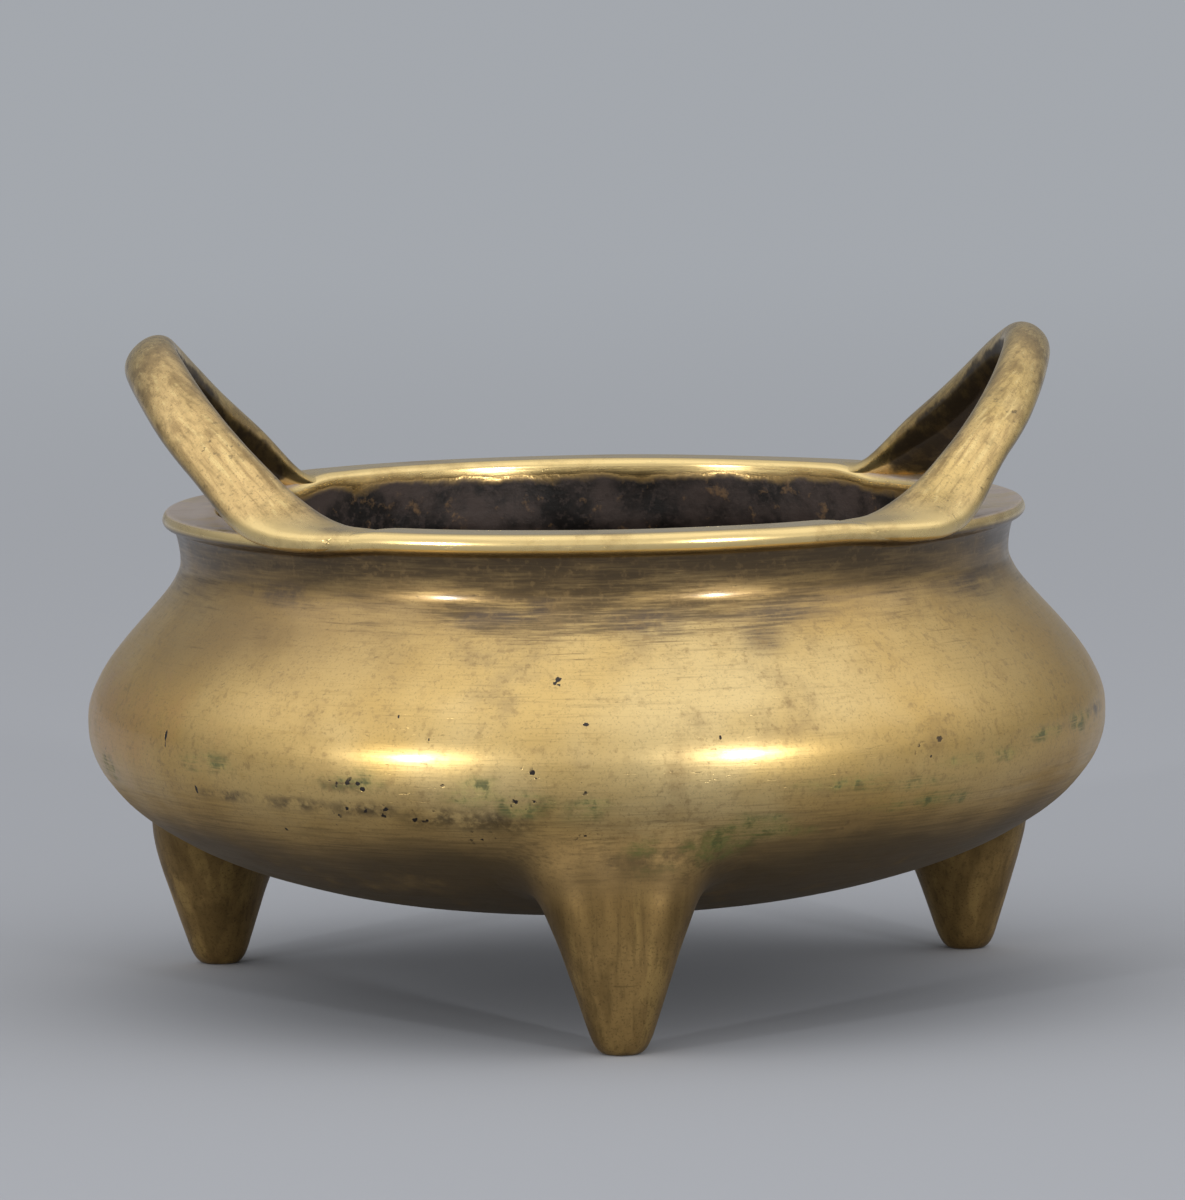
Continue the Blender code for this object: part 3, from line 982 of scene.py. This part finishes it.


# dark under the lip, partly patina and partly painted shade from the lip's overhang, streaky below it
def neckStainsAndShade(tree, f, colour, ragged):
    wander = calc(tree, "ADD", f["height"], centred(tree, f["bands"], 7.0 * mm))
    below = atHeight(tree, f["height"], "underLip")
    # the brown band is patina; the dark band that thickens right under the lip is partly patina, partly
    # painted shade from the lip's overhang
    for tint, span, thinnest in (("brown", "neckBrown", 0.66), ("darkBrown", "neckPatinaAndShade", 0.72)):
        streaky = remap(tree, f["streaky"], 0.34, 0.56, thinnest, 0.98)
        colour = stainAndPaintedLight(tree, colour, tint, atHeight(tree, wander, span), below, streaky)
    front = spotMask(tree, f["place"], centred(tree, f["clouds"], 1.0), broadStainsAndShade["frontNeck"], 0.15)
    elsewhere = remap(tree, f["clouds"], 0.46, 0.62, 0.05, 0.45)
    dense = times(tree, calc(tree, "MAXIMUM", front, elsewhere), below)
    dense = times(tree, dense, atHeight(tree, f["height"], "neckStreaks"), 0.24)
    broken = calc(tree, "ADD", f["streaky"], dense)
    colour = stainAndPaintedLight(tree, colour, "darkBrown", remap(tree, broken, 0.60, 0.80), 0.75)
    spots = spotMasks(tree, f["place"], ragged, neckStains, 0.25)
    worn = remap(tree, f["lines"], 0.34, 0.58, 0.45, 1.0)
    return stainAndPaintedLight(tree, colour, "violet", spots, remap(tree, f["blots"], 0.38, 0.56), worn, 0.80)


# brown low on the belly, partly patina and partly painted shade towards the bottom, and painted shade in
# umber where it faces the ground
def lowStainsAndShade(tree, f, colour):
    wander = calc(tree, "ADD", centred(tree, f["bands"], 6.0 * mm), centred(tree, f["clouds"], 12.0 * mm))
    edge = calc(tree, "ADD", f["height"], wander)
    # darker towards the bottom: partly brown patina, partly painted shade
    low = atHeight(tree, edge, "lowBelly")
    colour = stainAndPaintedLight(tree, colour, "brown", low, 0.92)
    colour = stainAndPaintedLight(tree, colour, "umber", low, remap(tree, f["streaky"], 0.44, 0.62), f["turned"], 0.55)
    # painted shade: umber where the underside faces the floor, fading on the feet
    offFoot = remap(tree, f["cone"], 0.2, 0.8, 1.0, 0.2)
    paintedUnderShade = times(tree, f["down"], atHeight(tree, edge, "underside"), offFoot)
    return stainAndPaintedLight(tree, colour, "umber", paintedUnderShade, 0.90), low


# dirty smears, verdigris in grains, and pits by themselves and in clusters
def spotStaining(tree, f, colour, ragged):
    place = f["place"]
    smears = spotMasks(tree, place, ragged, bellySmears, 0.2)
    dirt = times(tree, smears, remap(tree, f["blots"], 0.34, 0.52), remap(tree, f["mottle"], 0.34, 0.56))
    colour = stainAndPaintedLight(tree, colour, "umber", dirt, 0.85)
    grains = remap(tree, f["mottle"], 0.34, 0.60, 0.25, 1.0)
    green = spotMasks(tree, place, ragged, verdigris, 0.20)
    green = times(tree, green, remap(tree, f["streaky"], 0.36, 0.56), grains)
    colour = stainAndPaintedLight(tree, colour, "green", green, 0.75)
    crumbs = times(tree, green, remap(tree, f["mottle"], 0.48, 0.62))
    colour = stainAndPaintedLight(tree, colour, "deepGreen", crumbs, 0.80)
    fineRagged = calc(tree, "ADD", centred(tree, f["mottle"], 2.4), centred(tree, f["specks"], 2.4))
    single = spotMasks(tree, place, fineRagged, pitSpots, 0.70)
    cells = addNode(tree, "TexVoronoi", {"Vector": place, "Scale": 850.0}).outputs["Distance"]
    dots = calc(tree, "ADD", cells, centred(tree, f["specks"], 1.5))
    clusters = spotMasks(tree, place, centred(tree, f["mottle"], 2.0), pitClusters, 0.5)
    stray = times(tree, remap(tree, f["blots"], 0.66, 0.74), 0.7)
    clusters = calc(tree, "MAXIMUM", clusters, stray)
    pits = calc(tree, "MAXIMUM", single, times(tree, clusters, remap(tree, dots, 0.27, 0.17)))
    return stainAndPaintedLight(tree, colour, "dark", pits), green, pits


# the feet: browner, finely speckled, rubbed towards the tip, with painted shade on their tops under the
# bowl
def footStainsAndShade(tree, f, colour):
    brown = stainAndPaintedLight(tree, colour, "brown", atHeight(tree, f["height"], "footBrown", 0.15, 0.50))
    brown = layered(tree, f, brown, [
        ("darkBrown", "blots", (0.46, 0.68), 0.32),
        ("gold", "staves", (0.46, 0.34), 0.25),
        ("darkBrown", "staves", (0.48, 0.62), 0.32),
        ("umber", "upright", (0.50, 0.72), 0.38),
        ("umber", "mottle", (0.54, 0.72), 0.25),
        ("umber", "dust", (0.52, 0.70), 0.25),
    ])
    share = calc(tree, "ADD", f["cone"], centred(tree, f["blots"], 0.8))
    colour = blend(tree, remap(tree, share, 0.25, 0.75), colour, brown)
    # painted shade on the top of each foot, where it meets the bowl
    paintedTopShade = times(tree, atHeight(tree, f["height"], "footTop"), remap(tree, f["cone"], 0.0, 0.3))
    return stainAndPaintedLight(tree, colour, "darkBrown", paintedTopShade, 0.55)


# nicks, scratches, flecks and dust, finer low on the belly
def fineMarks(tree, f, colour, low, nicks):
    marks = calc(tree, "MAXIMUM", times(tree, f["scratches"], 0.40), times(tree, nicks, 0.14))
    colour = stainAndPaintedLight(tree, colour, "umber", marks)
    patchy = remap(tree, f["blots"], 0.40, 0.62, 0.35, 1.0)
    flecks = times(tree, remap(tree, f["specks"], 0.52, 0.70), patchy)
    colour = stainAndPaintedLight(tree, colour, "brown", flecks, remap(tree, low, 0.0, 1.0, 0.48, 0.12))
    colour = stainAndPaintedLight(tree, colour, "umber", flecks, low, 0.22)
    dust = remap(tree, f["dust"], 0.55, 0.70)
    return stainAndPaintedLight(tree, colour, "umber", dust, remap(tree, low, 0.0, 1.0, 0.26, 0.30))


# soot and ash baked onto the inner wall, with a ragged edge under the rim
def crustInside(tree, f, colour):
    edge = calc(tree, "ADD", pointField(tree, "wallDepth"), centred(tree, f["blots"], 4.5))
    colour = stainAndPaintedLight(tree, colour, "brown", remap(tree, edge, 0.2, 1.8), 0.85)
    crust = remap(tree, edge, 1.7, 3.1)
    darkBrown = blend(tree, remap(tree, f["blots"], 0.40, 0.64), bronze["crustDark"], bronze["crustBrown"])
    darkBrown = layered(tree, f, darkBrown, [
        ("crustBrown", "specks", (0.50, 0.68), 0.6),
        ("crustOchre", "mottle", (0.58, 0.70), 0.6),
    ])
    return blend(tree, crust, colour, darkBrown), crust


# the bowl and the feet were cast and finished together, so one recipe serves both
def vesselFinishAndShade(name):
    material, tree, f = surface(name)
    cone = f["cone"] = pointField(tree, "cone")
    f["turned"] = remap(tree, cone, 0.1, 0.6, 1.0, 0.0)
    fromAxis = vectorLength(tree, f["flat"])
    f["sideways"] = calc(tree, "DIVIDE", calc(tree, "ABSOLUTE", f["across"]), fromAxis)
    ragged = centred(tree, f["blots"], 2.4)
    loose = centred(tree, f["clouds"], 1.2)
    nicks = times(tree, f["nicks"], f["turned"])

    colour = sideTones(tree, f, ragged, loose)
    colour = neckStainsAndShade(tree, f, colour, ragged)
    colour, low = lowStainsAndShade(tree, f, colour)
    colour, green, pits = spotStaining(tree, f, colour, ragged)
    # painted shade on the belly above the front foot
    paintedShadeOverFoot = spotMask(tree, f["place"], loose, broadStainsAndShade["overFrontFoot"], 0.0)
    colour = stainAndPaintedLight(tree, colour, "darkBrown", paintedShadeOverFoot, 0.60)
    colour = footStainsAndShade(tree, f, colour)
    colour = fineMarks(tree, f, colour, low, nicks)
    rubbed = atHeight(tree, f["height"], "rubbedRim")
    colour = rubbedBright(tree, f, colour, rubbed)
    # pale grey-pink on the up-facing ledges beside the handles, a painted reflection of the pale ceiling
    byHandles = remap(tree, f["sideways"], 0.70, 0.78)
    ledge = times(tree, f["up"], atHeight(tree, f["height"], "ledge"), byHandles)
    paintedLedgeReflection = times(tree, ledge, remap(tree, f["blots"], 0.30, 0.55, 0.5, 0.95))
    colour = stainAndPaintedLight(tree, colour, "ledge", paintedLedgeReflection)
    colour, crust = crustInside(tree, f, colour)

    lowEarth = times(tree, low, remap(tree, cone, 0.2, 0.8, 0.45, 0.08))
    earthy = most(tree, [times(tree, green, 0.6), times(tree, paintedLedgeReflection, 0.7), crust, lowEarth])
    metal = remap(tree, earthy, 0.0, 1.0, 0.92, 0.10)
    dull = most(tree, [green, crust, paintedLedgeReflection, times(tree, low, remap(tree, cone, 0.2, 0.8, 0.8, 0.45))])
    rough = calc(tree, "ADD", centred(tree, f["lines"], 0.16), centred(tree, f["blots"], 0.26))
    rough = calc(tree, "ADD", rough, remap(tree, dull, 0.0, 1.0, 0.36, 0.58))
    rough = calc(tree, "SUBTRACT", rough, times(tree, rubbed, 0.11))
    raised = calc(tree, "ADD", times(tree, f["lines"], f["turned"], 0.30), times(tree, f["specks"], 0.18))
    cut = most(tree, [times(tree, pits, 1.2), times(tree, f["scratches"], 0.04), times(tree, nicks, 0.5)])
    bumpHeight = calc(tree, "SUBTRACT", raised, cut)
    bumpHeight = calc(tree, "ADD", bumpHeight, times(tree, crust, f["mottle"], 5.0))
    coat = remap(tree, most(tree, [low, crust, cone]), 0.0, 0.8, gloss["coat"], 0.0)
    closeShader(tree, colour, metal, rough, bumpHeight, coat)
    return material


# rubbed along the legs, with painted shade on the faces that look inwards into the loop and on the faces
# that look down
def handleFinishAndShade():
    material, tree, f = surface("handle_bronze_worn_and_shaded")
    for field, (stretch, *facts) in legFields.items():
        f[field] = grain(tree, alongLegs(tree, f["place"], stretch), *facts)
    colour = stainAndPaintedLight(tree, bareBronze(tree, f, 0.05), "polished", 0.30)
    colour = layered(tree, f, colour, [
        ("orange", "clouds", (0.40, 0.62), 0.30),
        ("brown", "legPatches", (0.50, 0.60), 0.55),
        ("brown", "legLines", (0.48, 0.68), 0.55),
        ("polished", "legLines", (0.44, 0.30), 0.75),
        ("olive", "mottle", (0.52, 0.70), 0.30),
        ("olive", "specks", (0.54, 0.68), 0.20),
        ("umber", "dust", (0.55, 0.70), 0.35),
    ])
    pocks = times(tree, remap(tree, f["specks"], 0.62, 0.69), remap(tree, f["blots"], 0.50, 0.64))
    colour = stainAndPaintedLight(tree, colour, "umber", pocks, 0.55)
    colour = stainAndPaintedLight(tree, colour, "umber", f["scratches"], 0.4)
    # painted shade on the faces that look down
    colour = stainAndPaintedLight(tree, colour, "darkBrown", f["lower"], 0.65)
    colour = rubbedBright(tree, f, colour, atHeight(tree, f["height"], "handleRoot"))
    # painted shade on the faces that look inwards into the loop
    inner = calc(tree, "ADD", pointField(tree, "inner"), centred(tree, f["blots"], 1.3))
    inner = remap(tree, inner, 0.42, 0.70)
    colour = stainAndPaintedLight(tree, colour, "umber", inner, 0.90)
    colour = stainAndPaintedLight(tree, colour, "dark", inner, remap(tree, f["mottle"], 0.36, 0.56), 0.70)
    rough = calc(tree, "ADD", centred(tree, f["mottle"], 0.26), remap(tree, inner, 0.0, 1.0, 0.29, 0.62))
    bumpHeight = calc(tree, "ADD", times(tree, f["mottle"], 0.6), times(tree, f["legLines"], 0.5))
    bumpHeight = calc(tree, "SUBTRACT", bumpHeight, times(tree, pocks, 0.8))
    closeShader(tree, colour, gloss["handleMetal"], rough, bumpHeight, gloss["handleCoat"])
    return material


bowlBronze = vesselFinishAndShade("bowl_bronze_worn_and_shaded")
handleBronze = handleFinishAndShade()
footBronze = vesselFinishAndShade("foot_bronze_worn_and_shaded")
print("materials made")

bowl = drawBowl()
shapeBowl(bowl)
finishPiece(bowl, "bowl", bowlBronze)
for node, facts in feet.items():
    finishPiece(drawFoot(node, facts), node, footBronze)
for node, side in (("right_handle", 1), ("left_handle", -1)):
    finishPiece(drawHandle(node, side), node, handleBronze)


# floor, light and camera

studio = {
    "floorSize": 12.0,
    "floorColour": (0.40, 0.415, 0.45),
    "floorRoughness": 0.85,
    "floorSpecular": 0.2,
    "backdropColour": (0.37, 0.39, 0.42),
    "backdropFrom": 0.30,
    "backdropFull": 1.60,
    "skyFront": (0.77, 0.77, 0.77),
    "skyBack": (0.26, 0.27, 0.28),
    "skyUp": 0.75,
    "skyAhead": 0.60,
    "skySpan": (-0.35, 0.45),
    "target": Vector((0, 0, 45.0 * mm)),
    "distance": 1.4,
    "azimuth": -2.4,
    "elevation": 6.5,
    "roll": 0.9,
    "lens": 285.06,
    "sensor": 36.0,
    "seesAsFar": 60.0,
    "aimUp": 12.36 * mm,
    "aimLeft": 0.41 * mm,
}

# azimuth, elevation, distance, size and power
softboxes = {
    "leftGlint": (-43.0, 8.0, 1.3, (0.045, 0.15), 4.4),
    "rightGlint": (30.0, 9.0, 1.3, (0.045, 0.15), 4.4),
    "leftBox": (-82.0, 46.0, 1.6, (1.3, 1.0), 1.5),
    "rightBox": (76.0, 46.0, 1.6, (1.3, 1.0), 1.5),
    "topBox": (-5.0, 71.0, 1.6, (1.6, 1.6), 3.3),
}


def directionFrom(azimuth, elevation):
    a = radians(azimuth)
    e = radians(elevation)
    return Vector((sin(a) * cos(e), -cos(a) * cos(e), sin(e)))


# painted floor that goes over into an even backdrop far from the middle
def makeFloor():
    deselectAll()
    bpy.ops.mesh.primitive_circle_add(
        vertices=96, radius=studio["floorSize"], fill_type="NGON", location=(0, 0, 0))
    floor = bpy.context.object
    floor.name = "studio_floor"
    material, tree = newMaterial("studio_floor_paint")
    paint = addNode(tree, "BsdfPrincipled", {
        "Base Color": studio["floorColour"],
        "Roughness": studio["floorRoughness"],
        "Specular IOR Level": studio["floorSpecular"],
    })
    glow = addNode(tree, "Emission", {0: studio["backdropColour"]})
    away = vectorLength(tree, addNode(tree, "TexCoord", {}).outputs["Object"])
    ray = addNode(tree, "LightPath", {}).outputs
    seen = most(tree, [ray["Is Camera Ray"], ray["Is Glossy Ray"], ray["Is Transmission Ray"]])
    far = times(tree, seen, remap(tree, away, studio["backdropFrom"], studio["backdropFull"]))
    mix = addNode(tree, "MixShader", {0: far, 1: paint.outputs[0], 2: glow.outputs[0]})
    addNode(tree, "OutputMaterial", {0: mix.outputs[0]})
    floor.data.materials.append(material)


def makeLights():
    for name, (azimuth, elevation, distance, size, power) in softboxes.items():
        towards = directionFrom(azimuth, elevation)
        deselectAll()
        bpy.ops.object.light_add(type="AREA", location=studio["target"] + towards * distance)
        lamp = bpy.context.object
        lamp.name = name
        lamp.rotation_euler = towards.to_track_quat("Z", "Y").to_euler()
        lamp.data.shape = "RECTANGLE"
        lamp.data.size, lamp.data.size_y = size
        lamp.data.energy = power
    world = bpy.data.worlds.new("studio_air")
    bpy.context.scene.world = world
    world.use_nodes = True
    tree = world.node_tree
    parts = partsOf(tree, addNode(tree, "TexCoord", {}).outputs["Generated"])
    up = times(tree, parts[2], studio["skyUp"])
    bright = calc(tree, "SUBTRACT", up, times(tree, parts[1], studio["skyAhead"]))
    colour = blend(tree, remap(tree, bright, *studio["skySpan"]), studio["skyBack"], studio["skyFront"])
    setInput(tree, tree.nodes["Background"].inputs[0], colour)


def makeCamera():
    back = directionFrom(studio["azimuth"], studio["elevation"])
    place = studio["target"] + back * studio["distance"]
    turn = back.to_track_quat("Z", "Y")
    aim = studio["target"] + turn @ Vector((-studio["aimLeft"], studio["aimUp"], 0))
    deselectAll()
    bpy.ops.object.camera_add(location=place)
    camera = bpy.context.object
    camera.name = "photo_camera"
    camera.rotation_euler = (place - aim).to_track_quat("Z", "Y").to_euler()
    camera.rotation_euler.rotate_axis("Z", radians(-studio["roll"]))
    camera.data.lens = studio["lens"]
    camera.data.sensor_width = studio["sensor"]
    camera.data.clip_end = studio["seesAsFar"]
    bpy.context.scene.camera = camera


makeFloor()
makeLights()
makeCamera()
bpy.context.scene.view_settings.view_transform = "Standard"
print("studio made")
